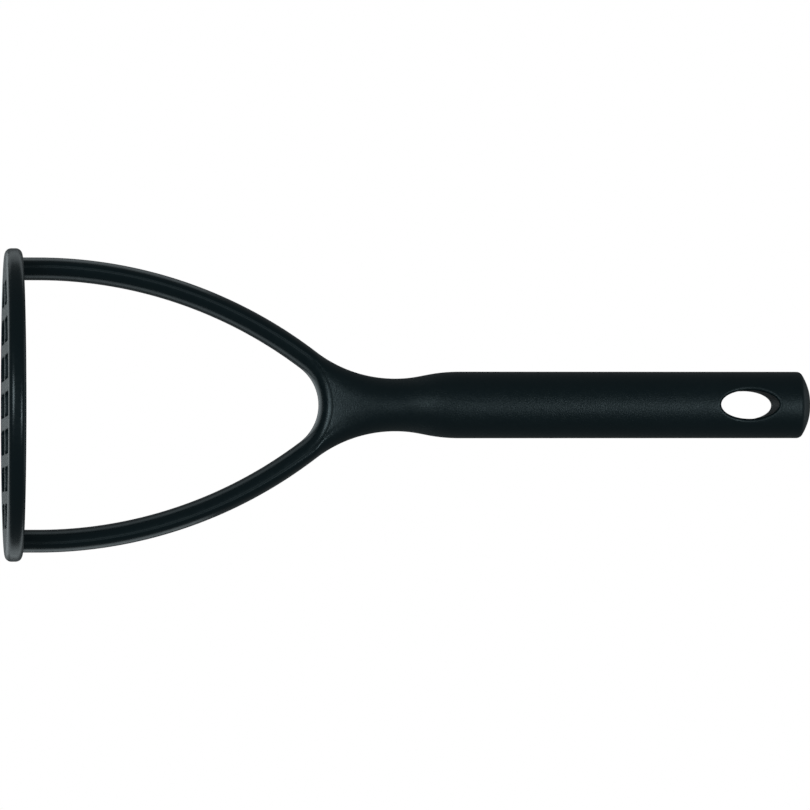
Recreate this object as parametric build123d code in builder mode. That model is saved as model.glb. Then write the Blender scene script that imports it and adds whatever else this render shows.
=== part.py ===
from build123d import *
import os
from math import asin, degrees, hypot, sqrt

# A one-handed potato masher in black glass-filled nylon. It stands on its mashing face, with the
# handle straight up. Z is up along the handle, X runs from arm to arm, Y runs through the hanging hole.
# The origin is the middle of the mashing face. All sizes are in millimetres.

# Overall
overall_length = 259.0

# Mashing plate
plate_diameter = 100.0
rim_height = 5.6
rim_width = 4.4
rim_rounding = 2.1
rim_inner_rounding = 0.8
web_thickness = 4.0
bar_width = 4.0
centre_rib = 4.2
slot_corner = 1.3
slot_end_margin = 1.2
slot_side_margin = 0.35
slot_edge_rounding = 0.3
boss_depth = 13.0
boss_corner = 1.5

# Arms, from the plate up to the crotch
arm_inset = 2.9
arm_width = 7.3
arm_depth = 12.0
arm_straight_run = 5.2
shoulder_offset = 0.6
shoulder_step = 0.3
shoulder_rounding = 0.12

# Crotch, measured to the middle of the arms
crotch_height = 104.0
crotch_radius = 18.4

# Tenon under each arm and its socket in the plate
tenon_width = 4.2
tenon_depth = 5.0
tenon_height = 3.4
tenon_lead_in = 0.5
socket_side_clearance = 0.1
socket_end_clearance = 0.3

# Neck
neck_rise = 21.0
waist_diameter = 16.9
flare_run = 20.0
flare_tuck = 0.35
flare_tuck_run = 9.0
flare_cover = 0.1
flare_ledge = 0.15
ridge_half_width = 0.5

# Grip
swell_run = 21.0
grip_diameter = 21.36
butt_dome_radius = 18.6
butt_rounding = 2.0

# Hanging hole
hole_length = 18.75
hole_width = 9.15
hole_end_margin = 11.25
hole_lip = 0.9

# Cuts run this far past the faces that they go through
overrun = 2.0

# Counts, and shares of the sizes that they follow
slot_rows = 7
flare_stations = 12
flare_fade_power = 3.2
swell_low_share = 0.40
swell_high_share = 0.51


plate_radius = plate_diameter / 2
arm_radius = arm_width / 2
arm_half_depth = arm_depth / 2
shoulder_half_depth = arm_half_depth + shoulder_step
arm_reach = plate_radius - arm_inset - arm_radius
boss_reach = arm_reach - arm_radius
waist_radius = waist_diameter / 2
waist_height = crotch_height + neck_rise
flare_bottom = crotch_height - flare_run
grip_radius = grip_diameter / 2
grip_start = waist_height + swell_run
hole_height = overall_length - hole_end_margin - hole_length / 2

# Seven slots fill the plate from one boss to the other, with a bar between each two.
slot_field = 2 * (boss_reach - slot_side_margin)
slot_width = (slot_field - (slot_rows - 1) * bar_width) / slot_rows
slot_pitch = slot_width + bar_width
slot_circle_radius = plate_radius - rim_width - slot_end_margin

# Each arm's centreline leaves the plate straight up, then bends inwards on one long arc that runs
# tangent into the small arc round the crotch.
bend_start = rim_height + arm_straight_run
bend_rise = crotch_height - bend_start
bend_radius = ((bend_rise - crotch_radius) ** 2 + arm_reach**2 - crotch_radius**2) / (
    2 * (arm_reach - crotch_radius)
)
bend_centre_x = arm_reach - bend_radius
bend_sine = (bend_rise - crotch_radius) / (bend_radius - crotch_radius)
bend_cosine = (bend_radius - arm_reach) / (bend_radius - crotch_radius)

# The neck's outline is a hollow arc, upright at the waist and tangent to the outer edge of the arm.
edge_radius = bend_radius + arm_radius
waist_run = waist_radius - bend_centre_x
waist_climb = waist_height - bend_start
neck_radius = (waist_run**2 + waist_climb**2 - edge_radius**2) / (2 * (edge_radius - waist_run))
neck_tangent_height = bend_start + edge_radius * waist_climb / hypot(
    waist_run + neck_radius, waist_climb
)


def wishbone(offset=0.0):
    """The arms' centreline from foot to foot over the crotch, in the XZ plane, moved outwards."""
    reach = arm_reach + offset
    radius = bend_radius + offset
    end_x = bend_centre_x + radius * bend_cosine
    end_z = bend_start + radius * bend_sine
    half_x = bend_centre_x + radius * sqrt((1 + bend_cosine) / 2)
    half_z = bend_start + radius * sqrt((1 - bend_cosine) / 2)
    Line((reach, rim_height), (reach, bend_start))
    ThreePointArc((reach, bend_start), (half_x, half_z), (end_x, end_z))
    ThreePointArc((end_x, end_z), (0, crotch_height + offset), (-end_x, end_z))
    ThreePointArc((-end_x, end_z), (-half_x, half_z), (-reach, bend_start))
    Line((-reach, bend_start), (-reach, rim_height))


def bend_edge(height, offset=0.0):
    """How far the arm's bend, moved outwards by offset, lies from the handle's axis at a height."""
    return bend_centre_x + sqrt((bend_radius + offset) ** 2 - (height - bend_start) ** 2)


def flare_half_width(height):
    """Half the neck's outline, arm to arm: a hollow arc down to the outer edge of the arms."""
    if height < neck_tangent_height:
        return bend_edge(height, arm_radius)
    return waist_radius + neck_radius - sqrt(neck_radius**2 - (waist_height - height) ** 2)


def flare_half_thickness(height):
    """Half the neck's thickness, front to back: as deep as the arms at the crotch, round at the waist."""
    gain = waist_radius - shoulder_half_depth
    side_radius = (neck_rise**2 + gain**2) / (2 * gain)
    drop = min(waist_height - height, neck_rise)
    return waist_radius - side_radius + sqrt(side_radius**2 - drop**2)


def flare_flat(height):
    """Half the flat middle of the neck. Low down it reaches to the step in each arm, then it fades out."""
    if height < neck_tangent_height:
        return bend_edge(height, shoulder_offset)
    fade = (waist_height - height) / (waist_height - neck_tangent_height)
    widest = bend_edge(neck_tangent_height, shoulder_offset)
    return ridge_half_width + (widest - ridge_half_width) * fade**flare_fade_power


def flare_growth(height):
    """How far the flare stands out of the arms. It starts inside them and rises through their skin."""
    climb = height - flare_bottom
    if climb < flare_tuck_run:
        return flare_cover - (flare_tuck + flare_cover) * (1 - climb / flare_tuck_run)
    return flare_cover * (waist_height - height) / (waist_height - flare_bottom - flare_tuck_run)


def flare_section(height):
    """A flat-topped oval: its ends are as wide as the shoulder of an arm, and a flat joins them."""
    flat = flare_flat(height)
    end_width = flare_half_width(height) + flare_growth(height) - flat
    half_thickness = flare_half_thickness(height) + flare_growth(height)
    EllipticalCenterArc((flat, 0), end_width, half_thickness, -90, arc_size=180)
    Line((flat, half_thickness), (-flat, half_thickness))
    EllipticalCenterArc((-flat, 0), end_width, half_thickness, 90, arc_size=180)
    Line((-flat, -half_thickness), (flat, -half_thickness))


def waist_section():
    """The round waist, in four arcs that line up with the four edges of a flare section."""
    ridge_angle = degrees(asin(ridge_half_width / waist_radius))
    for side in (0, 180):
        CenterArc((0, 0), waist_radius, side - 90 + ridge_angle, arc_size=180 - 2 * ridge_angle)
        CenterArc((0, 0), waist_radius, side + 90 - ridge_angle, arc_size=2 * ridge_angle)


# Handle and fork: one moulding with the grip, the neck, both arms and a tenon under each arm.
with BuildPart() as handle_and_fork:
    # The neck's flare, in level sections from inside the arms up to the round waist
    for station in range(flare_stations):
        station_height = flare_bottom + (waist_height - flare_bottom) * station / flare_stations
        with BuildSketch(Plane.XY.offset(station_height)):
            with BuildLine():
                flare_section(station_height)
            make_face()
    with BuildSketch(Plane.XY.offset(waist_height)):
        with BuildLine():
            waist_section()
        make_face()
    loft()

    # Between the arms the flare is cut back to a line just outside the step in the arms
    with BuildSketch(Plane.XZ):
        with BuildLine():
            wishbone(shoulder_offset + flare_ledge)
            trim_reach = arm_reach + shoulder_offset + flare_ledge
            Line((-trim_reach, rim_height), (trim_reach, rim_height))
        make_face()
    extrude(amount=waist_radius + overrun, both=True, mode=Mode.SUBTRACT)

    # Both arms and the crotch: one bar swept along the wishbone. Its outer half is a little deeper
    # than its inner half, so that a fine step runs along the middle of each arm
    with BuildLine(Plane.XZ) as arm_path:
        wishbone()
    with BuildSketch(Plane.XY.offset(rim_height)) as arm_section:
        with BuildLine():
            step_reach = arm_reach + shoulder_offset
            shoulder_width = arm_radius - shoulder_offset
            EllipticalCenterArc(
                (step_reach, 0), shoulder_width, shoulder_half_depth, -90, arc_size=180
            )
            Line((step_reach, shoulder_half_depth), (step_reach, arm_half_depth))
            EllipticalCenterArc(
                (step_reach, 0), arm_width - shoulder_width, arm_half_depth, 90, arc_size=180
            )
            Line((step_reach, -arm_half_depth), (step_reach, -shoulder_half_depth))
        make_face()
        shoulder_corners = arm_section.vertices().group_by(Axis.Y)
        fillet(shoulder_corners[0] + shoulder_corners[-1], shoulder_rounding)
    sweep(path=arm_path.wire())

    # The grip, turned about the handle's axis
    with BuildSketch(Plane.XZ) as grip_profile:
        with BuildLine():
            dome_drop = butt_dome_radius - sqrt(butt_dome_radius**2 - grip_radius**2)
            butt_corner = (grip_radius, overall_length - dome_drop)
            Line((0, waist_height), (waist_radius, waist_height))
            Bezier(
                (waist_radius, waist_height),
                (waist_radius, waist_height + swell_low_share * swell_run),
                (grip_radius, grip_start - swell_high_share * swell_run),
                (grip_radius, grip_start),
            )
            Line((grip_radius, grip_start), butt_corner)
            RadiusArc(butt_corner, (0, overall_length), -butt_dome_radius)
            Line((0, overall_length), (0, waist_height))
        make_face()
        fillet(grip_profile.vertices().group_by(Axis.X)[-1].sort_by(Axis.Y)[-1], butt_rounding)
    revolve(axis=Axis.Z)

    # The hanging hole, right through from front to back, with rounded lips
    with BuildSketch(Plane.XZ):
        with Locations((0, hole_height)):
            Ellipse(hole_width / 2, hole_length / 2)
    extrude(amount=grip_radius + overrun, both=True, mode=Mode.SUBTRACT)
    hole_edges = handle_and_fork.edges(Select.LAST).filter_by(GeomType.BSPLINE)
    fillet(hole_edges, hole_lip)

    # A tenon under each foot, with its lower edges eased so that it starts into its socket
    with BuildSketch(Plane.XY.offset(rim_height - tenon_height)):
        with Locations((arm_reach, 0), (-arm_reach, 0)):
            Rectangle(tenon_width, tenon_depth)
    extrude(amount=tenon_height)
    chamfer(handle_and_fork.faces().group_by(Axis.Z)[0].edges(), tenon_lead_in)

# Mashing plate: a rounded rim round a flat web with seven rows of slots, a rib across the middle of
# the slots, and a boss with a socket under each arm.
with BuildPart() as mashing_plate:
    with BuildSketch(Plane.XZ) as plate_profile:
        with BuildLine():
            rim_reach = plate_radius - rim_width
            Polyline(
                (0, 0),
                (plate_radius, 0),
                (plate_radius, rim_height),
                (rim_reach, rim_height),
                (rim_reach, web_thickness),
                (0, web_thickness),
                close=True,
            )
        make_face()
        fillet(plate_profile.vertices().group_by(Axis.X)[-1], rim_rounding)
        fillet(plate_profile.vertices().group_by(Axis.Y)[-1].sort_by(Axis.X)[0], rim_inner_rounding)
    revolve(axis=Axis.Z)

    # The bosses that the arms stand on
    rim_flat_middle = (rim_reach + plate_radius - rim_rounding) / 2
    with BuildSketch(Plane.XY.offset(web_thickness)) as boss_outline:
        Rectangle(plate_diameter, boss_depth)
        Rectangle(2 * boss_reach, plate_diameter, mode=Mode.SUBTRACT)
        Circle(rim_flat_middle, mode=Mode.INTERSECT)
        fillet(
            boss_outline.vertices().filter_by_position(Axis.X, -boss_reach, boss_reach),
            boss_corner,
        )
    extrude(amount=rim_height - web_thickness)

    # The slots: seven rows trimmed to a circle, each cut in two by the centre rib
    with BuildSketch() as slots:
        with GridLocations(slot_pitch, 0, slot_rows, 1):
            Rectangle(slot_width, plate_diameter)
        Circle(slot_circle_radius, mode=Mode.INTERSECT)
        Rectangle(plate_diameter, centre_rib, mode=Mode.SUBTRACT)
        fillet(slots.vertices(), slot_corner)
    extrude(amount=web_thickness + overrun, mode=Mode.SUBTRACT)
    slot_edges = mashing_plate.edges(Select.LAST)
    fillet(slot_edges.group_by(Axis.Z)[0], slot_edge_rounding)

    # The sockets in the bosses, a little larger than the tenons
    with BuildSketch(Plane.XY.offset(rim_height)):
        with Locations((arm_reach, 0), (-arm_reach, 0)):
            Rectangle(
                tenon_width + 2 * socket_side_clearance, tenon_depth + 2 * socket_side_clearance
            )
    extrude(amount=-(tenon_height + socket_end_clearance), mode=Mode.SUBTRACT)

handle_and_fork.part.label = "handle_and_fork"
mashing_plate.part.label = "mashing_plate"
os.makedirs("parts", exist_ok=True)
export_step(handle_and_fork.part, "parts/handle_and_fork.step")
export_step(mashing_plate.part, "parts/mashing_plate.step")
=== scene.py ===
# %% [markdown]
# # A potato masher in black nylon
# The tool is taken to be two mouldings: a handle that forks into two arms, and a round slotted plate
# that the arms stand on. The CAD model holds their sizes, and it is loaded first, as a frame that nothing
# here moves. Each visible piece is then built again as a clean mesh in the same place, because the
# triangles of a CAD model show as ripples wherever a dark glossy surface catches the light.

# %% Load the frame
from math import asin, atan2, cos, degrees, hypot, pi, radians, sin, sqrt

import bmesh
import bpy
from mathutils import Matrix, Vector


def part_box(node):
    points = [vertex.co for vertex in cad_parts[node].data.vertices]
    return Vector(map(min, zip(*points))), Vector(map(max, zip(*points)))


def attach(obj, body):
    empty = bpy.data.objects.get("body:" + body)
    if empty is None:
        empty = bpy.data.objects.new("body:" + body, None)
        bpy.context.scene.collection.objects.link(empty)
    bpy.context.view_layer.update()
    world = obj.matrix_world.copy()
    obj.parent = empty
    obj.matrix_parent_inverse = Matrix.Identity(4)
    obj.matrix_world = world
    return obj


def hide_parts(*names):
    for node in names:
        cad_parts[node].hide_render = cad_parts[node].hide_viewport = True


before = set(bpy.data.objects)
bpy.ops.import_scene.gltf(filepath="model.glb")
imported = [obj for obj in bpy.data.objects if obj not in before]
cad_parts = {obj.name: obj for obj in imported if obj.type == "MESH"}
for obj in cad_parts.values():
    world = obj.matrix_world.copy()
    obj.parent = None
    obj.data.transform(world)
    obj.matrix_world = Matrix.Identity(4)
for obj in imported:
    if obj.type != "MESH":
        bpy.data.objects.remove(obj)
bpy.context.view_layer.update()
MM = 0.001
handle_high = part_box("handle_and_fork")[1]
plate_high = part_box("mashing_plate")[1]
overall_length = handle_high.z / MM
plate_radius = plate_high.x / MM
rim_height = plate_high.z / MM
print("handle", round(overall_length, 2), "plate", round(plate_radius, 2), round(rim_height, 2), "mm")

# %% [markdown]
# ## Camera
# The photograph shows the masher lying sideways, taken from far away with a long lens, so its sides
# hardly converge. A camera looks along its own -Z with X to the right and Y up. Its matrix is built from
# those three directions, because the tool's long axis has to run level across the picture.

# %% Camera
camera_place = Vector((0.0416, -2.243, -0.059))
camera_target = Vector((0.0, 0.0, 0.12817))
camera_lens = 312.2
camera_sensor = 36.0

forward = (camera_target - camera_place).normalized()
along_handle = Vector((0, 0, 1))
right = (along_handle - forward * along_handle.dot(forward)).normalized()
up = right.cross(forward)
camera_data = bpy.data.cameras.new("photo_camera")
camera_data.lens = camera_lens
camera_data.sensor_width = camera_sensor
camera = bpy.data.objects.new("photo_camera", camera_data)
bpy.context.scene.collection.objects.link(camera)
turn = Matrix((right, up, -forward)).transposed()
camera.matrix_world = Matrix.Translation(camera_place) @ turn.to_4x4()
bpy.context.scene.camera = camera
print("camera stands", round((camera_target - camera_place).length, 3), "m away")

# %% [markdown]
# ## Studio
# A black glossy tool has almost no colour of its own: what we see is the studio in it. Two soft lamps
# stand near the ends of the tool, so each draws one highlight wherever the surface leans towards it. The
# rest of the room is dim, which keeps the sides of the round handle dark, and two wide lamps behind the
# tool lighten only its edges. Low cards beside the fork give the deep arms their pale sides. The world
# is white to the camera and dim to every other ray, so the background stays clean. All of it was fitted
# to the photograph by comparing brightness, so it is one studio that gives this look, not a known one.

# %% Helper for node trees
def add_node(tree, kind, inputs=None, **settings):
    """Adds a node, sets its properties, and fills its inputs with a value or with a link."""
    node = tree.nodes.new(kind)
    for setting, value in settings.items():
        setattr(node, setting, value)
    for socket, value in (inputs or {}).items():
        if isinstance(value, bpy.types.NodeSocket):
            tree.links.new(value, node.inputs[socket])
        else:
            node.inputs[socket].default_value = value
    return node


# %% World
room_strength = 0.105
cool_white = (0.90, 1.0, 1.03)
world = bpy.data.worlds.new("dim_room")
bpy.context.scene.world = world
world.use_nodes = True
room = world.node_tree
room.nodes.clear()
room_light = add_node(
    room, "ShaderNodeBackground", {"Color": (*cool_white, 1.0), "Strength": room_strength}
)
backdrop = add_node(room, "ShaderNodeBackground", {"Color": (1.0, 1.0, 1.0, 1.0), "Strength": 1.0})
ray = add_node(room, "ShaderNodeLightPath")
room_mix = add_node(
    room,
    "ShaderNodeMixShader",
    {0: ray.outputs["Is Camera Ray"], 1: room_light.outputs[0], 2: backdrop.outputs[0]},
)
add_node(room, "ShaderNodeOutputWorld", {"Surface": room_mix.outputs[0]})
bpy.context.scene.view_settings.view_transform = "Standard"
print("room strength", room_strength)

# %% Lamps
lamp_distance = 1.4
lamp_centre = Vector((0.0, 0.0, 0.13))


def soft_light(name, place, way, width, height, radiance):
    """A rectangular lamp that the camera doesn't see. It shines against way, its width along Z."""
    data = bpy.data.lights.new(name, "AREA")
    data.shape = "RECTANGLE"
    data.size = width
    data.size_y = height
    data.color = cool_white
    data.energy = radiance * pi * width * height
    lamp = bpy.data.objects.new(name, data)
    bpy.context.scene.collection.objects.link(lamp)
    long_side = Vector((0, 0, 1))
    along = (long_side - way * long_side.dot(way)).normalized()
    turn = Matrix((along, way.cross(along), way)).transposed()
    lamp.matrix_world = Matrix.Translation(place) @ turn.to_4x4()
    lamp.visible_camera = False
    return lamp


def far_lamp(name, towards_foot, towards_left_arm, width, height, radiance):
    """A lamp far from the tool. The two angles turn it away from straight in front."""
    leaning = radians(towards_foot)
    rising = radians(towards_left_arm)
    way = Vector((-sin(rising), -cos(rising) * cos(leaning), -cos(rising) * sin(leaning)))
    soft_light(name, lamp_centre + way * lamp_distance, way, width, height, radiance)


far_lamp("butt_side_lamp", -26, -7, 0.36, 0.44, 5.6)
far_lamp("foot_side_lamp", 35, 5, 0.60, 0.44, 4.9)
far_lamp("behind_foot_lamp", 138, 0, 1.2, 1.4, 0.75)
far_lamp("behind_butt_lamp", -100, 0, 0.9, 1.4, 0.4)
print("four lamps", lamp_distance, "m from the tool")

# %% Cards beside the fork
card_reach = 0.11
card_depth = 0.08
card_behind = 0.07


def side_card(name, side, low, high, radiance):
    """A glowing card on one side of the fork, a little behind it, between two heights."""
    place = Vector((side * card_reach, card_behind, (low + high) / 2))
    return soft_light(name, place, Vector((side, 0, 0)), high - low, card_depth, radiance)


left_card = side_card("left_arm_card", -1, -0.05, 0.10, 0.40)
right_card = side_card("right_arm_card", 1, -0.14, 0.10, 0.62)
tool_alone = bpy.data.collections.new("tool_alone")
left_card.light_linking.receiver_collection = tool_alone
right_card.light_linking.receiver_collection = tool_alone
print("two cards", card_reach, "m from the middle")

# %% [markdown]
# ## Floor
# The floor is a pale disc that the masher stands on. The photograph looks from a little below the
# mashing face, so the floor has to be clear from underneath. Its material asks the Geometry node which
# side is seen and shows a see-through shader on the lower side. The upper side glows a little, because
# the lamps are set for a black tool and would leave it grey.

# %% Floor
floor_radius = 4.0
floor_drop = 0.0002
floor_grey = 0.8
floor_glow = 0.42
floor_sides = 64
floor_mesh = bpy.data.meshes.new("floor")
floor_shape = bmesh.new()
bmesh.ops.create_circle(floor_shape, cap_ends=True, segments=floor_sides, radius=floor_radius)
bmesh.ops.translate(floor_shape, vec=(0, 0, -floor_drop), verts=floor_shape.verts)
floor_shape.to_mesh(floor_mesh)
floor_shape.free()
floor = bpy.data.objects.new("floor", floor_mesh)
bpy.context.scene.collection.objects.link(floor)
floor_material = bpy.data.materials.new("pale_floor")
floor_material.use_nodes = True
floor_tree = floor_material.node_tree
floor_tree.nodes.clear()
paint = add_node(floor_tree, "ShaderNodeBsdfDiffuse", {"Color": (floor_grey,) * 3 + (1.0,)})
glow = add_node(floor_tree, "ShaderNodeEmission", {"Color": (1.0, 1.0, 1.0, 1.0), "Strength": floor_glow})
bright = add_node(floor_tree, "ShaderNodeAddShader", {0: paint.outputs[0], 1: glow.outputs[0]})
clear = add_node(floor_tree, "ShaderNodeBsdfTransparent")
facing = add_node(floor_tree, "ShaderNodeNewGeometry")
floor_mix = add_node(
    floor_tree,
    "ShaderNodeMixShader",
    {0: facing.outputs["Backfacing"], 1: bright.outputs[0], 2: clear.outputs[0]},
)
add_node(floor_tree, "ShaderNodeOutputMaterial", {"Surface": floor_mix.outputs[0]})
floor_mesh.materials.append(floor_material)
floor.visible_diffuse = False
floor.visible_glossy = False
floor.visible_transmission = False
floor.visible_shadow = False
print("floor radius", floor_radius, "m")

# %% [markdown]
# ## The path of the arms
# Both arms are one bar bent like a wishbone: straight up from the plate, inwards on one long arc, then
# round the crotch on a small one. Each arc meets the next without a corner, so the radius of the long
# one follows from the others. The path is a list of points with the outward direction at each, and
# everything that follows the arms uses it.

# %% Wishbone path
arm_inset = 2.9
arm_half_width = 3.65
arm_straight_run = 5.2
crotch_height = 104.0
crotch_radius = 18.4
step_offset = 0.6

arm_reach = plate_radius - arm_inset - arm_half_width
bend_start = rim_height + arm_straight_run
bend_rise = crotch_height - bend_start
bend_radius = ((bend_rise - crotch_radius) ** 2 + arm_reach**2 - crotch_radius**2) / (
    2 * (arm_reach - crotch_radius)
)
bend_centre = arm_reach - bend_radius
bend_end = atan2(bend_rise - crotch_radius, bend_radius - arm_reach)
crotch_centre = crotch_height - crotch_radius
straight_steps = 4
bend_steps = 64
crotch_steps = 24


def wishbone_half():
    """Points of the +X arm from its foot to the crotch, each with its outward direction."""
    stations = []
    for step in range(straight_steps):
        stations.append((arm_reach, rim_height + arm_straight_run * step / straight_steps, 0.0))
    for step in range(bend_steps):
        angle = bend_end * step / bend_steps
        reach = bend_centre + bend_radius * cos(angle)
        stations.append((reach, bend_start + bend_radius * sin(angle), angle))
    for step in range(crotch_steps + 1):
        angle = bend_end + (pi / 2 - bend_end) * step / crotch_steps
        stations.append((crotch_radius * cos(angle), crotch_centre + crotch_radius * sin(angle), angle))
    return stations


half_path = wishbone_half()
print(len(half_path), "stations, long arc", round(bend_radius, 1), "mm")

# %% [markdown]
# ## Nylon
# Both pieces are taken to be the same black nylon. It is a little blue-green, and never quite one
# colour: a slow noise mixes two tints of it. The photograph shows a fine grain on the handle that
# fades out towards the crotch, while the arms and the plate look satin. A noise on Object coordinates
# stays put on the piece and has no seams, and the bump height is a real depth in metres.
#
# Three settings were chosen only because the picture then matches the photograph, and say nothing
# certain about the real plastic. The first is the blue-green tint of the shine, stronger on the handle.
#
# The second is a rougher band along the crest of the step, which shows there as a fine pale line. The
# third is painted shade: a weaker shine on the wall of the hanging hole, which is nearly black in the
# photograph. The shader finds the wall by how far a point is from the hole's axis, counted in half widths
# of the oval.

# %% Sizes of the hanging hole
hole_length = 18.75
hole_width = 9.15
hole_end_margin = 11.25
hole_height = overall_length - hole_end_margin - hole_length / 2
print("hole", hole_length, "x", hole_width, "mm, its middle at", round(hole_height, 1), "mm")

# %% Nylon
nylon_dark = (0.0020, 0.0085, 0.0112, 1.0)
nylon_light = (0.0035, 0.0115, 0.0146, 1.0)
cloud_size = 14 * MM
grain_size = 0.42 * MM
gloss_patch_size = 1.6 * MM
noise_low = 0.3
noise_high = 0.7
grain_start = 0.1000
grain_full = 0.1065
arm_grain_share = 0.10
arm_smoothness = 0.12
crest_core = 0.25 * MM
crest_reach = 0.5 * MM
crest_fade_start = 0.094
crest_fade_end = 0.101
crest_dullness = 0.25
# painted shade: the weak shine on the hanging hole's wall
painted_shade_shine = 0.04
plain_shine = 0.5
wall_end = 1.01
lip_end = 1.07


def noise(tree, place, size, detail=2.0, roughness=0.5):
    """Noise whose blobs are about as large as size."""
    inputs = {"Vector": place, "Scale": 1 / size, "Detail": detail, "Roughness": roughness}
    return add_node(tree, "ShaderNodeTexNoise", inputs).outputs["Fac"]


def ramp(tree, value, low, high, out_low, out_high):
    """Turns a value between low and high into one between out_low and out_high, smoothly."""
    inputs = {"Value": value, "From Min": low, "From Max": high, "To Min": out_low, "To Max": out_high}
    return add_node(tree, "ShaderNodeMapRange", inputs, interpolation_type="SMOOTHSTEP").outputs[0]


def calc(tree, operation, first, second=0.0):
    """One sum on one or two values."""
    return add_node(tree, "ShaderNodeMath", {0: first, 1: second}, operation=operation).outputs[0]


def crest_share(tree, place):
    """1 along the crest of the step on both arms, falling to 0 on either side and towards the crotch."""
    parts = add_node(tree, "ShaderNodeSeparateXYZ", {"Vector": place})
    across = calc(tree, "SUBTRACT", calc(tree, "ABSOLUTE", parts.outputs["X"]), bend_centre * MM)
    climb = calc(tree, "SUBTRACT", parts.outputs["Z"], bend_start * MM)
    climb = calc(tree, "MAXIMUM", climb, 0.0)
    across_squared = calc(tree, "MULTIPLY", across, across)
    climb_squared = calc(tree, "MULTIPLY", climb, climb)
    radius = calc(tree, "SQRT", calc(tree, "ADD", across_squared, climb_squared))
    away = calc(tree, "ABSOLUTE", calc(tree, "SUBTRACT", radius, (bend_radius + step_offset) * MM))
    near = ramp(tree, away, crest_core, crest_reach, 1.0, 0.0)
    low = ramp(tree, parts.outputs["Z"], crest_fade_start, crest_fade_end, 1.0, 0.0)
    return calc(tree, "MULTIPLY", near, low)


def hole_wall_painted_shade(tree, place):
    """Painted shade on the hanging hole's wall: a weak shine there, which becomes the plain shine on its
    lips.
    """
    middle = Vector((0.0, 0.0, hole_height)) * MM
    to_half_widths = Vector((2 / hole_width, 0.0, 2 / hole_length)) / MM
    inputs = {0: place, 1: middle}
    from_middle = add_node(tree, "ShaderNodeVectorMath", inputs, operation="SUBTRACT").outputs[0]
    inputs = {0: from_middle, 1: to_half_widths}
    counted = add_node(tree, "ShaderNodeVectorMath", inputs, operation="MULTIPLY").outputs[0]
    distance = add_node(tree, "ShaderNodeVectorMath", {0: counted}, operation="LENGTH").outputs["Value"]
    return ramp(tree, distance, wall_end, lip_end, painted_shade_shine, plain_shine)


def nylon(name, gloss_range, shine_tint, grain_depth, on_handle):
    """Black nylon. On the handle the grain fades out along the arms, the crest is dulled, and the hole's
    wall gets painted shade.
    """
    material = bpy.data.materials.new(name)
    material.use_nodes = True
    tree = material.node_tree
    tree.nodes.clear()
    place = add_node(tree, "ShaderNodeTexCoord").outputs["Object"]
    cloud = noise(tree, place, cloud_size, detail=4.0)
    tint = add_node(tree, "ShaderNodeMix", {0: cloud, 6: nylon_dark, 7: nylon_light}, data_type="RGBA")
    grain = noise(tree, place, grain_size, detail=3.0, roughness=0.6)
    height = ramp(tree, grain, noise_low, noise_high, 0.0, grain_depth)
    patches = noise(tree, place, gloss_patch_size, detail=5.0)
    gloss = ramp(tree, patches, noise_low, noise_high, *gloss_range)
    shine = plain_shine
    if on_handle:
        level = add_node(tree, "ShaderNodeSeparateXYZ", {"Vector": place}).outputs["Z"]
        share = ramp(tree, level, grain_start, grain_full, arm_grain_share, 1.0)
        height = calc(tree, "MULTIPLY", height, share)
        smoother = ramp(tree, level, grain_start, grain_full, arm_smoothness, 0.0)
        gloss = calc(tree, "SUBTRACT", gloss, smoother)
        dulled = calc(tree, "MULTIPLY", crest_share(tree, place), crest_dullness)
        gloss = calc(tree, "ADD", gloss, dulled)
        # painted shade: a weaker shine darkens the hanging hole's wall
        shine = hole_wall_painted_shade(tree, place)
    bump = add_node(tree, "ShaderNodeBump", {"Height": height, "Distance": 1.0, "Strength": 1.0})
    skin = add_node(
        tree,
        "ShaderNodeBsdfPrincipled",
        {
            "Base Color": tint.outputs[2],
            "Roughness": gloss,
            "Normal": bump.outputs[0],
            "IOR": 1.5,
            "Specular Tint": shine_tint,
            "Specular IOR Level": shine,
        },
    )
    add_node(tree, "ShaderNodeOutputMaterial", {"Surface": skin.outputs[0]})
    return material


grained_gloss = (0.33, 0.41)
satin_gloss = (0.24, 0.30)
grained_tint = (0.85, 1.0, 1.04, 1.0)
satin_tint = (0.90, 1.0, 1.03, 1.0)
grained_depth = 0.032 * MM
satin_depth = 0.003 * MM
grained_nylon = nylon("grained_nylon", grained_gloss, grained_tint, grained_depth, on_handle=True)
satin_nylon = nylon("satin_nylon", satin_gloss, satin_tint, satin_depth, on_handle=False)
print("grain", round(grain_size / MM, 2), "mm wide")

# %% [markdown]
# ## Inner half of the arms
# The inner half of the bar is half an ellipse carried along the wishbone, which is just what Curve to
# Mesh does. The tree below takes the path and the section as two drawn curves. At the crotch this same
# sweep is the smooth bead that runs round the inside of the fork. Extruding a bevelled curve would do it
# too, but the swept mesh keeps one row of points per station, and the outer half has to meet them.

# %% Drawing curves and running trees
def link(thing):
    """Puts an object into the scene and hands it back."""
    bpy.context.scene.collection.objects.link(thing)
    return thing


def drawn_curve(name, outlines, closed=False):
    """A curve object through the given points, in millimetres, one spline for each outline."""
    curve = bpy.data.curves.new(name, "CURVE")
    curve.dimensions = "3D"
    for outline in outlines:
        spline = curve.splines.new("POLY")
        spline.points.add(len(outline) - 1)
        for point, place in zip(spline.points, outline):
            point.co = (*[part * MM for part in place], 1.0)
        spline.use_cyclic_u = closed
    return link(bpy.data.objects.new(name, curve))


def new_tree(name, sockets):
    """An empty geometry tree with the named inputs, and its input and output nodes."""
    tree = bpy.data.node_groups.new(name, "GeometryNodeTree")
    tree.interface.new_socket("Geometry", in_out="INPUT", socket_type="NodeSocketGeometry")
    for socket, kind in sockets.items():
        tree.interface.new_socket(socket, in_out="INPUT", socket_type="NodeSocket" + kind)
    tree.interface.new_socket("Geometry", in_out="OUTPUT", socket_type="NodeSocketGeometry")
    return tree, tree.nodes.new("NodeGroupInput"), tree.nodes.new("NodeGroupOutput")


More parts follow.
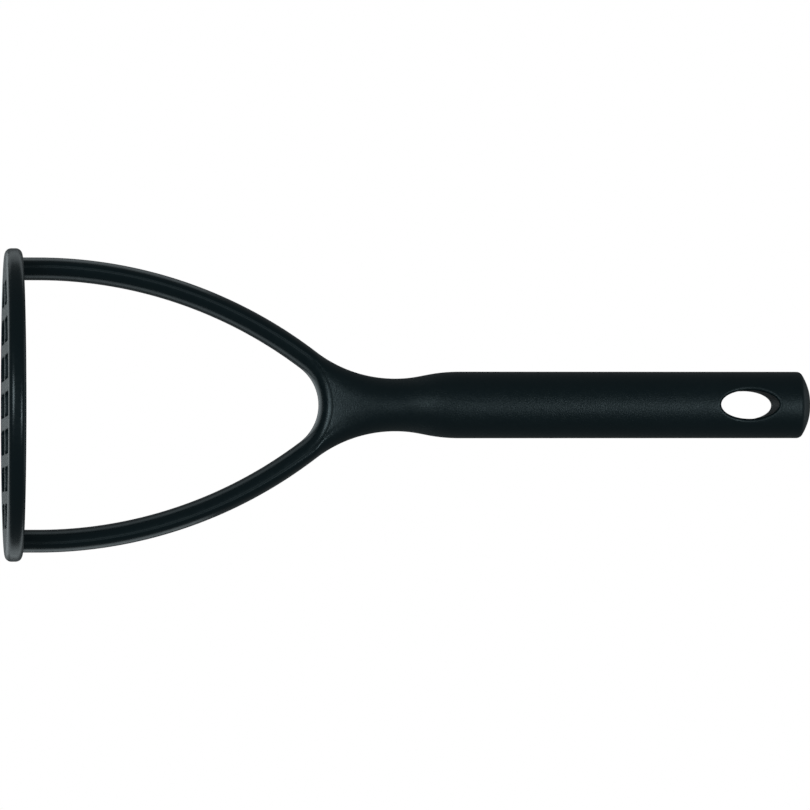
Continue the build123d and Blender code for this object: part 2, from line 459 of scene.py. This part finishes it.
def finish_tree(tree, shape, material, output):
    """Ends a tree as the export needs it: real geometry, with its material on it."""
    real = add_node(tree, "GeometryNodeRealizeInstances", {"Geometry": shape})
    painted = add_node(
        tree, "GeometryNodeSetMaterial", {"Geometry": real.outputs[0], "Material": material}
    )
    tree.links.new(painted.outputs[0], output.inputs["Geometry"])


def run_tree(tree, values):
    """Runs a tree on an empty mesh and returns the mesh that it makes."""
    host = link(bpy.data.objects.new(tree.name, bpy.data.meshes.new(tree.name)))
    modifier = host.modifiers.new(tree.name, "NODES")
    modifier.node_group = tree
    for item in tree.interface.items_tree:
        if item.in_out == "INPUT" and item.name in values:
            modifier[item.identifier] = values[item.name]
    graph = bpy.context.evaluated_depsgraph_get()
    mesh = bpy.data.meshes.new_from_object(host.evaluated_get(graph))
    host.modifiers.remove(modifier)
    bpy.data.objects.remove(host)
    return mesh


# %% Sweep tree
def sweep_tree():
    """Carries a section along a path. X of the section points outwards from the fork."""
    sockets = {"Path": "Object", "Section": "Object", "Material": "Material"}
    tree, given, output = new_tree("arm_sweep", sockets)
    path = add_node(tree, "GeometryNodeObjectInfo", {"Object": given.outputs["Path"]})
    section = add_node(tree, "GeometryNodeObjectInfo", {"Object": given.outputs["Section"]})
    swept = add_node(
        tree,
        "GeometryNodeCurveToMesh",
        {"Curve": path.outputs["Geometry"], "Profile Curve": section.outputs["Geometry"]},
    )
    finish_tree(tree, swept.outputs[0], given.outputs["Material"], output)
    return tree


arm_half_depth = 6.0
bead_steps = 40

full_path = [(x, 0, z) for x, z, angle in half_path]
full_path += [(-x, 0, z) for x, z, angle in reversed(half_path[:-1])]
bead_width = arm_half_width + step_offset
bead_section = []
for step in range(bead_steps + 1):
    angle = pi * (step / bead_steps - 0.5)
    bead_section.append((step_offset - bead_width * cos(angle), arm_half_depth * sin(angle), 0))
path_curve = drawn_curve("arm_path", [full_path])
section_curve = drawn_curve("arm_section", [bead_section])
bead_mesh = run_tree(
    sweep_tree(), {"Path": path_curve, "Section": section_curve, "Material": grained_nylon}
)
print("bead has", len(bead_mesh.polygons), "faces")

# %% [markdown]
# ## Outer half of the arms and the neck
# Outside the fine step line the arms open out into the neck. Seen from the front this skin has an
# outline that is known, from the outer edge of the arms to the round waist, and at every point a
# thickness that is known too. So it is a sheet of quads stretched between the step line and the outline,
# lifted by its thickness. Level sections are flat in the middle and end in quarter ellipses. One quarter
# of the handle is laid, and the other three are its mirror images.

# %% Shape of the neck
shoulder_half_depth = 6.3
neck_rise = 21.0
waist_radius = 8.45
flare_blend_low = 82.0
flare_blend_high = 100.0
arm_blend_low = 66.0
arm_blend_high = 88.0
flat_fade_power = 3.2

shoulder_width = arm_half_width - step_offset
waist_height = crotch_height + neck_rise
edge_radius = bend_radius + arm_half_width
waist_run = waist_radius - bend_centre
waist_climb = waist_height - bend_start
neck_radius = (waist_run**2 + waist_climb**2 - edge_radius**2) / (2 * (edge_radius - waist_run))
neck_tangent_height = bend_start + edge_radius * waist_climb / hypot(waist_run + neck_radius, waist_climb)
step_radius = crotch_radius + step_offset
gain = waist_radius - shoulder_half_depth
side_radius = (neck_rise**2 + gain**2) / (2 * gain)


def smooth_share(value, low, high):
    """Rises smoothly from 0 at low to 1 at high."""
    share = min(1.0, max(0.0, (value - low) / (high - low)))
    return share * share * (3 - 2 * share)


def bend_edge(height, offset):
    """How far the long arc, moved outwards by offset, lies from the axis at a height."""
    if height < bend_start:
        return arm_reach + offset
    return bend_centre + sqrt((bend_radius + offset) ** 2 - (height - bend_start) ** 2)


def neck_half_width(height):
    """The outline: the outer edge of the arm, then a hollow arc up to the waist."""
    if height < neck_tangent_height:
        return bend_edge(height, arm_half_width)
    return waist_radius + neck_radius - sqrt(neck_radius**2 - (waist_height - height) ** 2)


def neck_flat(height):
    """Half of the flat middle. It reaches to the step line low down and fades to nothing at the waist."""
    if height < neck_tangent_height:
        return bend_edge(height, step_offset)
    fade = (waist_height - height) / (waist_height - neck_tangent_height)
    return bend_edge(neck_tangent_height, step_offset) * fade**flat_fade_power


def step_line_height(reach):
    """Height of the step line at a distance from the axis."""
    if reach < step_radius * cos(bend_end):
        return crotch_centre + sqrt(step_radius**2 - reach**2)
    long_radius = bend_radius + step_offset
    return bend_start + sqrt(max(0.0, long_radius**2 - (reach - bend_centre) ** 2))


def neck_middle_depth(reach, height):
    """Half thickness in the flat middle. It starts as deep as the arms and swells to the waist."""
    start = step_line_height(reach)
    climb = min(1.0, max(0.0, (height - start) / (waist_height - start)))
    drop = neck_rise * (1 - climb)
    swollen = waist_radius - side_radius + sqrt(side_radius**2 - drop**2)
    share = smooth_share(height, flare_blend_low, flare_blend_high)
    return shoulder_half_depth + share * (swollen - shoulder_half_depth)


def skin_depth(reach, height):
    """Half thickness anywhere between the step line and the outline."""
    if height < bend_start:
        offset = reach - arm_reach
    else:
        offset = hypot(reach - bend_centre, height - bend_start) - bend_radius
    arm_share = (offset - step_offset) / shoulder_width
    flat = neck_flat(height)
    neck_share = (reach - flat) / (neck_half_width(height) - flat)
    blend = smooth_share(height, arm_blend_low, arm_blend_high)
    share = min(1.0, max(0.0, arm_share * (1 - blend) + neck_share * blend))
    return neck_middle_depth(reach, height) * sqrt(1 - share * share)


print("waist at", round(waist_height, 1), "mm, neck arc", round(neck_radius, 1), "mm")

# %% Laying mirrored sheets
def lay_sheet(shape, rows):
    """Adds a sheet of quads and its three mirror images. Each row is a list of points in millimetres."""
    for side_x in (1, -1):
        for side_y in (1, -1):
            lines = []
            for row in rows:
                places = [(side_x * x * MM, side_y * y * MM, z * MM) for x, y, z in row]
                lines.append([shape.verts.new(place) for place in places])
            for low, high in zip(lines, lines[1:]):
                for corner in range(len(low) - 1):
                    shape.faces.new((low[corner], low[corner + 1], high[corner + 1], high[corner]))


crest_rounding = 0.12
crest_steps = 4
skin_columns = 24
neck_steps = 20
flat_columns = 8
flat_full_share = 0.3
halvings = 30

handle_shape = bmesh.new()
handle_shape.from_mesh(bead_mesh)


def flat_part(inner, outer):
    """The share of a row, from its inner end, that lies on the flat middle."""
    low, high = 0.0, 1.0
    for halving in range(halvings):
        middle = (low + high) / 2
        reach = inner[0] + (outer[0] - inner[0]) * middle
        height = inner[1] + (outer[1] - inner[1]) * middle
        if reach < neck_flat(height):
            low = middle
        else:
            high = middle
    return low


def skin_row(inner, outer):
    """Points from the step line, or the axis, to the outline, closer together where the skin curves."""
    flat = flat_part(inner, outer)
    settled = smooth_share(flat, 0.0, flat_full_share)
    row = []
    for column in range(skin_columns + 1):
        plain = column / skin_columns
        shifted = max(0.0, (column - flat_columns) / (skin_columns - flat_columns))
        quarter = sin(pi / 2 * (plain * (1 - settled) + shifted * settled))
        share = flat * min(1.0, column / flat_columns) + (1 - flat) * quarter
        reach = inner[0] + (outer[0] - inner[0]) * share
        height = inner[1] + (outer[1] - inner[1]) * share
        depth = 0.0 if column == skin_columns else skin_depth(reach, height)
        row.append((reach, -depth, height))
    return row


# %% Lay the step, the shoulders and the neck
def moved_out(station, offset):
    """A point of the path, moved outwards."""
    x, z, angle = station
    return (x + offset * cos(angle), z + offset * sin(angle))


step_rows = []
skin_rows = []
edge_low = bend_start + edge_radius * sin(bend_end)
neck_line = crotch_steps + neck_steps
for number, station in enumerate(half_path):
    inner = moved_out(station, step_offset + crest_rounding)
    crotch_number = number - (straight_steps + bend_steps)
    if crotch_number <= 0:
        outer = moved_out(station, arm_half_width)
    else:
        outer_height = edge_low + (waist_height - edge_low) * crotch_number / neck_line
        outer = (neck_half_width(outer_height), outer_height)
    skin_rows.append(skin_row(inner, outer))
    top = -skin_rows[-1][0][1]
    wall = moved_out(station, step_offset)
    step_row = [(wall[0], -arm_half_depth, wall[1])]
    for step in range(crest_steps + 1):
        angle = pi / 2 * step / crest_steps
        place = moved_out(station, step_offset + crest_rounding * (1 - cos(angle)))
        step_row.append((place[0], -(top - crest_rounding * (1 - sin(angle))), place[1]))
    step_rows.append(step_row)
apex = step_radius + crest_rounding + crotch_centre
for step in range(1, neck_steps + 1):
    inner_height = apex + (waist_height - apex) * step / neck_steps
    outer_height = edge_low + (waist_height - edge_low) * (crotch_steps + step) / neck_line
    skin_rows.append(skin_row((0.0, inner_height), (neck_half_width(outer_height), outer_height)))
lay_sheet(handle_shape, step_rows)
lay_sheet(handle_shape, skin_rows)
print(len(skin_rows), "rows of skin, step", round(shoulder_half_depth - arm_half_depth, 2), "mm deep")

# %% [markdown]
# ## Grip and hanging hole
# From the waist up the handle is round: a swell, a long straight grip and a domed butt. It could be
# spun, but the hanging hole has to go through it without a boolean's ragged triangles. So the rings
# leave a window open round the hole, and rows of quads run from the window's edge to the lip. The lip's
# rounding is worked out for the true angle between the round skin and the straight tunnel, which is
# sharper at the sides than at the ends.

# %% Rings of the grip
swell_run = 21.0
swell_low_share = 0.40
swell_high_share = 0.51
grip_radius = 10.68
butt_dome_radius = 18.6
butt_rounding = 2.0
swell_steps = 20
grip_steps = 30
butt_steps = 10
dome_steps = 14
window_half_columns = 12

hole_lip = 0.9
window_half_height = 12.0
window_steps = 24

grip_start = waist_height + swell_run
window_low = hole_height - window_half_height
window_high = hole_height + window_half_height


def ring(radius, height, first=0):
    """A quarter ring of the round handle, from the front round to the side."""
    angles = [pi / 2 * column / skin_columns for column in range(first, skin_columns + 1)]
    return [(radius * sin(angle), -radius * cos(angle), height) for angle in angles]


def bezier(share, first, second, third, fourth):
    """A point on a cubic curve through four control values."""
    rest = 1 - share
    return (
        rest**3 * first + 3 * rest**2 * share * second + 3 * rest * share**2 * third + share**3 * fourth
    )


swell_rows = []
for step in range(swell_steps + 1):
    share = step / swell_steps
    low_handle = waist_height + swell_low_share * swell_run
    high_handle = grip_start - swell_high_share * swell_run
    swell_radius = bezier(share, waist_radius, waist_radius, grip_radius, grip_radius)
    height = bezier(share, waist_height, low_handle, high_handle, grip_start)
    swell_rows.append(ring(swell_radius, height))
grip_rows = []
for step in range(grip_steps + 1):
    grip_rows.append(ring(grip_radius, grip_start + (window_low - grip_start) * step / grip_steps))
window_rows = []
for step in range(window_steps + 1):
    height = window_low + 2 * window_half_height * step / window_steps
    window_rows.append(ring(grip_radius, height, window_half_columns))

dome_centre = overall_length - butt_dome_radius
corner_reach = grip_radius - butt_rounding
corner_height = dome_centre + sqrt((butt_dome_radius - butt_rounding) ** 2 - corner_reach**2)
corner_angle = atan2(corner_height - dome_centre, corner_reach)
butt_rows = [ring(grip_radius, window_high)]
for step in range(butt_steps + 1):
    angle = corner_angle * step / butt_steps
    height = corner_height + butt_rounding * sin(angle)
    butt_rows.append(ring(corner_reach + butt_rounding * cos(angle), height))
for step in range(1, dome_steps + 1):
    angle = corner_angle + (pi / 2 - corner_angle) * step / dome_steps
    height = dome_centre + butt_dome_radius * sin(angle)
    butt_rows.append(ring(butt_dome_radius * cos(angle), height))
for rows in (swell_rows, grip_rows, window_rows, butt_rows):
    lay_sheet(handle_shape, rows)
print("grip from", round(grip_start, 1), "mm, window up to", round(window_high, 1), "mm")

# %% Hanging hole
skirt_steps = 6
lip_steps = 8
tunnel_steps = 8


def on_grip(reach, height):
    """The point of the grip's front skin at a distance from the axis and a height."""
    return (reach, -sqrt(grip_radius**2 - reach**2), height)


def lip_row(edge):
    """Points from the window's edge over the lip and down the tunnel to the middle of the grip."""
    edge_x, edge_z = edge[0], edge[2] - hole_height
    turn = atan2(edge_x / hole_width, -edge_z / hole_length)
    x = hole_width / 2 * sin(turn)
    z = hole_height - hole_length / 2 * cos(turn)
    out = Vector((sin(turn) / hole_width, -cos(turn) / hole_length)).normalized()
    corner = on_grip(x, z)
    slope = x * out[0] / -corner[1]
    half_corner = (pi / 2 - atan2(slope, 1.0)) / 2
    touch = hole_lip * cos(half_corner) / sin(half_corner)
    run = touch * cos(atan2(slope, 1.0))
    lip_start = on_grip(x + out[0] * run, z + out[1] * run)
    lip_end = (x, corner[1] + touch, z)
    row = []
    for step in range(skirt_steps):
        share = step / skirt_steps
        reach = edge[0] + (lip_start[0] - edge[0]) * share
        row.append(on_grip(reach, edge[2] + (lip_start[2] - edge[2]) * share))
    weight = sin(half_corner)
    for step in range(lip_steps + 1):
        share = step / lip_steps
        parts = ((1 - share) ** 2, 2 * share * (1 - share) * weight, share**2)
        total = sum(parts)
        points = (lip_start, corner, lip_end)
        row.append(tuple(sum(p * q[axis] for p, q in zip(parts, points)) / total for axis in range(3)))
    for step in range(1, tunnel_steps + 1):
        row.append((x, lip_end[1] * (1 - step / tunnel_steps), z))
    return row


window_edge = [ring(grip_radius, window_low)[column] for column in range(window_half_columns)]
window_edge += [row[0] for row in window_rows]
window_edge += [ring(grip_radius, window_high)[column] for column in reversed(range(window_half_columns))]
lay_sheet(handle_shape, [lip_row(edge) for edge in window_edge])
print(len(window_edge), "rows round the hole")

# %% [markdown]
# ## Feet and tenons
# Each arm ends flat on its boss and has a tenon under it. The tenon is a guess, because the photograph
# doesn't show how the two pieces are joined. The flat is filled between two loops of edges, the arm's
# outline and the tenon's, and nobody sees it until the tool comes apart. With both feet closed the
# handle is one watertight mesh, which the last line checks.

# %% Feet
tenon_width = 4.2
tenon_depth = 5.0
tenon_height = 3.4
tenon_lead_in = 0.5
weld_distance = 0.02 * MM
square_corners = ((1, 1), (-1, 1), (-1, -1), (1, -1))


def tenon_loop(shape, side, inset, height):
    """A rectangle of four points under a foot."""
    half_x = (tenon_width / 2 - inset) * MM
    half_y = (tenon_depth / 2 - inset) * MM
    centre = side * arm_reach * MM
    places = [(centre + a * half_x, b * half_y, height * MM) for a, b in square_corners]
    return [shape.verts.new(place) for place in places]


def close_foot(shape, side):
    """Adds the tenon under one foot and fills the flat round it."""
    foot_edges = [
        edge
        for edge in shape.edges
        if edge.is_boundary
        and all(abs(v.co.z - rim_height * MM) < weld_distance and v.co.x * side > 0 for v in edge.verts)
    ]
    loops = [tenon_loop(shape, side, 0.0, rim_height)]
    loops.append(tenon_loop(shape, side, 0.0, rim_height - tenon_height + tenon_lead_in))
    loops.append(tenon_loop(shape, side, tenon_lead_in, rim_height - tenon_height))
    for upper, lower in zip(loops, loops[1:]):
        for corner in range(4):
            after = (corner + 1) % 4
            shape.faces.new((upper[corner], upper[after], lower[after], lower[corner]))
    shape.faces.new(loops[-1])
    top = loops[0]
    tenon_edges = [shape.edges.get((top[corner], top[(corner + 1) % 4])) for corner in range(4)]
    bmesh.ops.triangle_fill(shape, use_beauty=True, edges=foot_edges + tenon_edges)


bmesh.ops.remove_doubles(handle_shape, verts=handle_shape.verts, dist=weld_distance)
for side in (1, -1):
    close_foot(handle_shape, side)
print("open edges left", sum(not edge.is_manifold for edge in handle_shape.edges))

# %% Handle and fork
sharp_angle = radians(48)


def finished_piece(name, shape, material):
    """Turns a bmesh into a shaded object with its faces outwards."""
    bmesh.ops.recalc_face_normals(shape, faces=shape.faces)
    mesh = bpy.data.meshes.new(name)
    shape.to_mesh(mesh)
    shape.free()
    mesh.materials.clear()
    mesh.materials.append(material)
    mesh.polygons.foreach_set("material_index", [0] * len(mesh.polygons))
    mesh.shade_smooth()
    mesh.set_sharp_from_angle(angle=sharp_angle)
    piece = link(bpy.data.objects.new(name, mesh))
    tool_alone.objects.link(piece)
    return piece


handle = finished_piece("handle_with_arms", handle_shape, grained_nylon)
for drawn in (path_curve, section_curve):
    bpy.data.objects.remove(drawn)
bpy.data.meshes.remove(bead_mesh)
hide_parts("handle_and_fork")
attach(handle, "root")
print("handle has", len(handle.data.polygons), "faces")

# %% [markdown]
# ## Mashing plate
# The plate is a flat web in a rounded rim, with seven rows of slots that a rib cuts in two. Fourteen
# slots of five lengths repeat along one rule, so a tree makes the plate: it sweeps one wall section along
# every slot outline and one rim section round a circle, then fills the flats between their edges. The
# two short flats at the ends of each section keep the shading of the large flats even. The bosses that
# the arms stand on, and the sockets in them, are plain prisms, so Mesh Boolean nodes can join and cut
# them without spoiling a curved surface.

# %% Sections and outlines of the plate
rim_width = 4.4
rim_rounding = 2.1
rim_inner_rounding = 0.8
web_thickness = 4.0
bar_width = 4.0
centre_rib = 4.2
slot_rows = 7
slot_corner = 1.3
slot_end_margin = 1.2
slot_side_margin = 0.35
slot_lip = 0.3
slot_back_lip = 0.2
flat_border = 0.2
corner_steps = 6
end_steps = 6
rim_steps = 240

rim_reach = plate_radius - rim_width
slot_circle = rim_reach - slot_end_margin
boss_reach = arm_reach - arm_half_width
slot_field = 2 * (boss_reach - slot_side_margin)
slot_width = (slot_field - (slot_rows - 1) * bar_width) / slot_rows


def arc(centre, radius, start, end, steps):
    """Points on an arc, with both of its ends. The angles are in degrees."""
    angles = [radians(start + (end - start) * step / steps) for step in range(steps + 1)]
    return [(centre[0] + radius * cos(angle), centre[1] + radius * sin(angle), 0) for angle in angles]


def slot_outline(middle):
    """A slot on the +Y side: straight sides, rounded corners, and an outer end on the slot circle."""
    low = middle - slot_width / 2 + slot_corner
    high = middle + slot_width / 2 - slot_corner
    near = centre_rib / 2 + slot_corner
    inner_circle = slot_circle - slot_corner
    far_low = sqrt(inner_circle**2 - low**2)
    far_high = sqrt(inner_circle**2 - high**2)
    turn_low = degrees(atan2(far_low, low))
    turn_high = degrees(atan2(far_high, high))
    points = arc((low, near), slot_corner, 180, 270, corner_steps)
    points += arc((high, near), slot_corner, 270, 360, corner_steps)
    points += arc((high, far_high), slot_corner, 0, turn_high, corner_steps)
    points += arc((0, 0), slot_circle, turn_high, turn_low, end_steps)[1:-1]
    points += arc((low, far_low), slot_corner, turn_low, 180, corner_steps)
    return points


def upside_down(points):
    """Sections are drawn with the web's thickness upwards, and swept with it downwards."""
    return [(x, -y, z) for x, y, z in points]


pitch = slot_width + bar_width
slot_middles = [(row - (slot_rows - 1) / 2) * pitch for row in range(slot_rows)]
slot_curve = drawn_curve("slot_outlines", [slot_outline(middle) for middle in slot_middles], closed=True)
wall_points = [(slot_lip + flat_border, 0, 0)]
wall_points += arc((slot_lip, slot_lip), slot_lip, 270, 180, corner_steps)
wall_points += arc((slot_back_lip, web_thickness - slot_back_lip), slot_back_lip, 180, 90, corner_steps)
wall_points += [(slot_back_lip + flat_border, web_thickness, 0)]
wall_curve = drawn_curve("slot_wall_section", [upside_down(wall_points)])
outer_reach = rim_width - rim_rounding
rim_points = [(-flat_border, 0, 0)]
rim_points += arc((outer_reach, rim_rounding), rim_rounding, 270, 360, 2 * corner_steps)
rim_points += arc((outer_reach, rim_height - rim_rounding), rim_rounding, 0, 90, 2 * corner_steps)
inner_corner = (rim_inner_rounding, rim_height - rim_inner_rounding)
rim_points += arc(inner_corner, rim_inner_rounding, 90, 180, corner_steps)
rim_points += [(0, web_thickness, 0), (-flat_border, web_thickness, 0)]
rim_points.reverse()
rim_curve = drawn_curve("rim_section", [upside_down(rim_points)])
print(slot_rows * 2, "slots", round(slot_width, 2), "mm wide")

# %% Outlines of the bosses and sockets
boss_depth = 13.0
boss_corner = 1.5
socket_side_clearance = 0.1
socket_end_clearance = 0.3
socket_overrun = 1.0

plate_weld = 0.001 * MM

half_boss = boss_depth / 2
boss_far = (rim_reach + plate_radius - rim_rounding) / 2
boss_turn = degrees(asin(half_boss / boss_far))
boss_points = arc((0, 0), boss_far, -boss_turn, boss_turn, corner_steps)
boss_near = boss_reach + boss_corner
boss_side = half_boss - boss_corner
boss_points += arc((boss_near, boss_side), boss_corner, 90, 180, corner_steps)
boss_points += arc((boss_near, -boss_side), boss_corner, 180, 270, corner_steps)
socket_x = tenon_width / 2 + socket_side_clearance
socket_y = tenon_depth / 2 + socket_side_clearance
socket_points = [(arm_reach + a * socket_x, b * socket_y, 0) for a, b in square_corners]
socket_floor = rim_height - tenon_height - socket_end_clearance


def both_sides(points):
    """An outline and the same one turned half round the plate's middle."""
    return [points, [(-x, -y, z) for x, y, z in points]]


boss_curve = drawn_curve("boss_outlines", both_sides(boss_points), closed=True)
socket_curve = drawn_curve("socket_outlines", both_sides(socket_points), closed=True)
print("bosses", round(boss_far - boss_reach, 2), "by", boss_depth, "mm")
print("sockets", round(2 * socket_x, 1), "by", round(2 * socket_y, 1), "mm")

# %% Plate tree
def plate_tree():
    """Sweeps the slots and the rim, fills the two flats, and adds the bosses with their sockets."""
    sockets = {
        "Slot Outlines": "Object",
        "Slot Section": "Object",
        "Rim Section": "Object",
        "Boss Outlines": "Object",
        "Socket Outlines": "Object",
        "Rim Radius": "Float",
        "Web Thickness": "Float",
        "Rim Height": "Float",
        "Socket Floor": "Float",
        "Socket Height": "Float",
        "Weld": "Float",
        "Material": "Material",
    }
    tree, given, output = new_tree("slotted_plate", sockets)

    def drawn(name):
        info = add_node(tree, "GeometryNodeObjectInfo", {"Object": given.outputs[name]})
        return info.outputs["Geometry"]

    def level(height):
        return add_node(tree, "ShaderNodeCombineXYZ", {"Z": height}).outputs[0]

    half_turn = add_node(
        tree, "GeometryNodeTransform", {"Geometry": drawn("Slot Outlines"), "Rotation": (0, 0, pi)}
    )
    all_slots = add_node(tree, "GeometryNodeJoinGeometry")
    tree.links.new(half_turn.outputs[0], all_slots.inputs[0])
    tree.links.new(drawn("Slot Outlines"), all_slots.inputs[0])
    rim_inputs = {"Resolution": rim_steps, "Radius": given.outputs["Rim Radius"]}
    circle = add_node(tree, "GeometryNodeCurvePrimitiveCircle", rim_inputs)
    swept = add_node(tree, "GeometryNodeJoinGeometry")
    for path, section in ((all_slots, "Slot Section"), (circle, "Rim Section")):
        upright = add_node(
            tree, "GeometryNodeSetCurveNormal", {"Curve": path.outputs[0]}, mode="Z_UP"
        )
        walls = add_node(
            tree,
            "GeometryNodeCurveToMesh",
            {"Curve": upright.outputs[0], "Profile Curve": drawn(section)},
        )
        tree.links.new(walls.outputs[0], swept.inputs[0])

    sides = add_node(tree, "GeometryNodeInputMeshEdgeNeighbors").outputs["Face Count"]
    open_edge = calc(tree, "COMPARE", sides, 1.0)
    position = add_node(tree, "GeometryNodeInputPosition").outputs[0]
    here = add_node(tree, "ShaderNodeSeparateXYZ", {"Vector": position}).outputs["Z"]
    half_web = calc(tree, "MULTIPLY", given.outputs["Web Thickness"], 0.5)
    upper = calc(tree, "GREATER_THAN", here, half_web)
    lower = calc(tree, "LESS_THAN", here, half_web)
    whole = add_node(tree, "GeometryNodeJoinGeometry")
    tree.links.new(swept.outputs[0], whole.inputs[0])
    for side, height in ((lower, 0.0), (upper, given.outputs["Web Thickness"])):
        chosen = calc(tree, "MULTIPLY", open_edge, side)
        border = add_node(
            tree, "GeometryNodeMeshToCurve", {"Mesh": swept.outputs[0], "Selection": chosen}
        )
        flat = add_node(tree, "GeometryNodeFillCurve", {"Curve": border.outputs[0]})
        if side is lower:
            flat = add_node(tree, "GeometryNodeFlipFaces", {"Mesh": flat.outputs[0]})
        lifted = add_node(
            tree, "GeometryNodeTransform", {"Geometry": flat.outputs[0], "Translation": level(height)}
        )
        tree.links.new(lifted.outputs[0], whole.inputs[0])

    def weld(shape):
        inputs = {"Geometry": shape, "Distance": given.outputs["Weld"]}
        return add_node(tree, "GeometryNodeMergeByDistance", inputs).outputs[0]

    def prism(outline, low, high):
        flat = add_node(tree, "GeometryNodeFillCurve", {"Curve": drawn(outline)}).outputs[0]
        start = {"Geometry": flat, "Translation": level(low)}
        base = add_node(tree, "GeometryNodeTransform", start).outputs[0]
        climb = {"Mesh": base, "Offset": level(calc(tree, "SUBTRACT", high, low)), "Individual": False}
        walls = add_node(tree, "GeometryNodeExtrudeMesh", climb, mode="FACES").outputs[0]
        turned = add_node(tree, "GeometryNodeFlipFaces", {"Mesh": base}).outputs[0]
        both = add_node(tree, "GeometryNodeJoinGeometry")
        tree.links.new(walls, both.inputs[0])
        tree.links.new(turned, both.inputs[0])
        return weld(both.outputs[0])

    bosses = prism("Boss Outlines", half_web, given.outputs["Rim Height"])
    standing = add_node(tree, "GeometryNodeMeshBoolean", operation="UNION", solver="EXACT")
    tree.links.new(weld(whole.outputs[0]), standing.inputs["Mesh 2"])
    tree.links.new(bosses, standing.inputs["Mesh 2"])
    holes = prism("Socket Outlines", given.outputs["Socket Floor"], given.outputs["Socket Height"])
    pierced = add_node(
        tree,
        "GeometryNodeMeshBoolean",
        {"Mesh 1": standing.outputs[0], "Mesh 2": holes},
        operation="DIFFERENCE",
        solver="EXACT",
    )
    finish_tree(tree, weld(pierced.outputs[0]), given.outputs["Material"], output)
    return tree


plate_mesh = run_tree(
    plate_tree(),
    {
        "Slot Outlines": slot_curve,
        "Slot Section": wall_curve,
        "Rim Section": rim_curve,
        "Boss Outlines": boss_curve,
        "Socket Outlines": socket_curve,
        "Rim Radius": rim_reach * MM,
        "Web Thickness": web_thickness * MM,
        "Rim Height": rim_height * MM,
        "Socket Floor": socket_floor * MM,
        "Socket Height": (rim_height + socket_overrun) * MM,
        "Weld": plate_weld,
        "Material": satin_nylon,
    },
)
plate_shape = bmesh.new()
plate_shape.from_mesh(plate_mesh)
print("plate open edges", sum(not edge.is_manifold for edge in plate_shape.edges))
plate = finished_piece("slotted_plate", plate_shape, satin_nylon)
for drawn in (slot_curve, wall_curve, rim_curve, boss_curve, socket_curve):
    bpy.data.objects.remove(drawn)
bpy.data.meshes.remove(plate_mesh)
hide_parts("mashing_plate")
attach(plate, "root")
print("plate has", len(plate.data.polygons), "faces")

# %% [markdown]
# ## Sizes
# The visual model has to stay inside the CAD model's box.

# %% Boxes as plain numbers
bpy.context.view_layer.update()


def plain(box):
    """A box as plain lists of numbers."""
    return [[float(part) for part in corner] for corner in box]
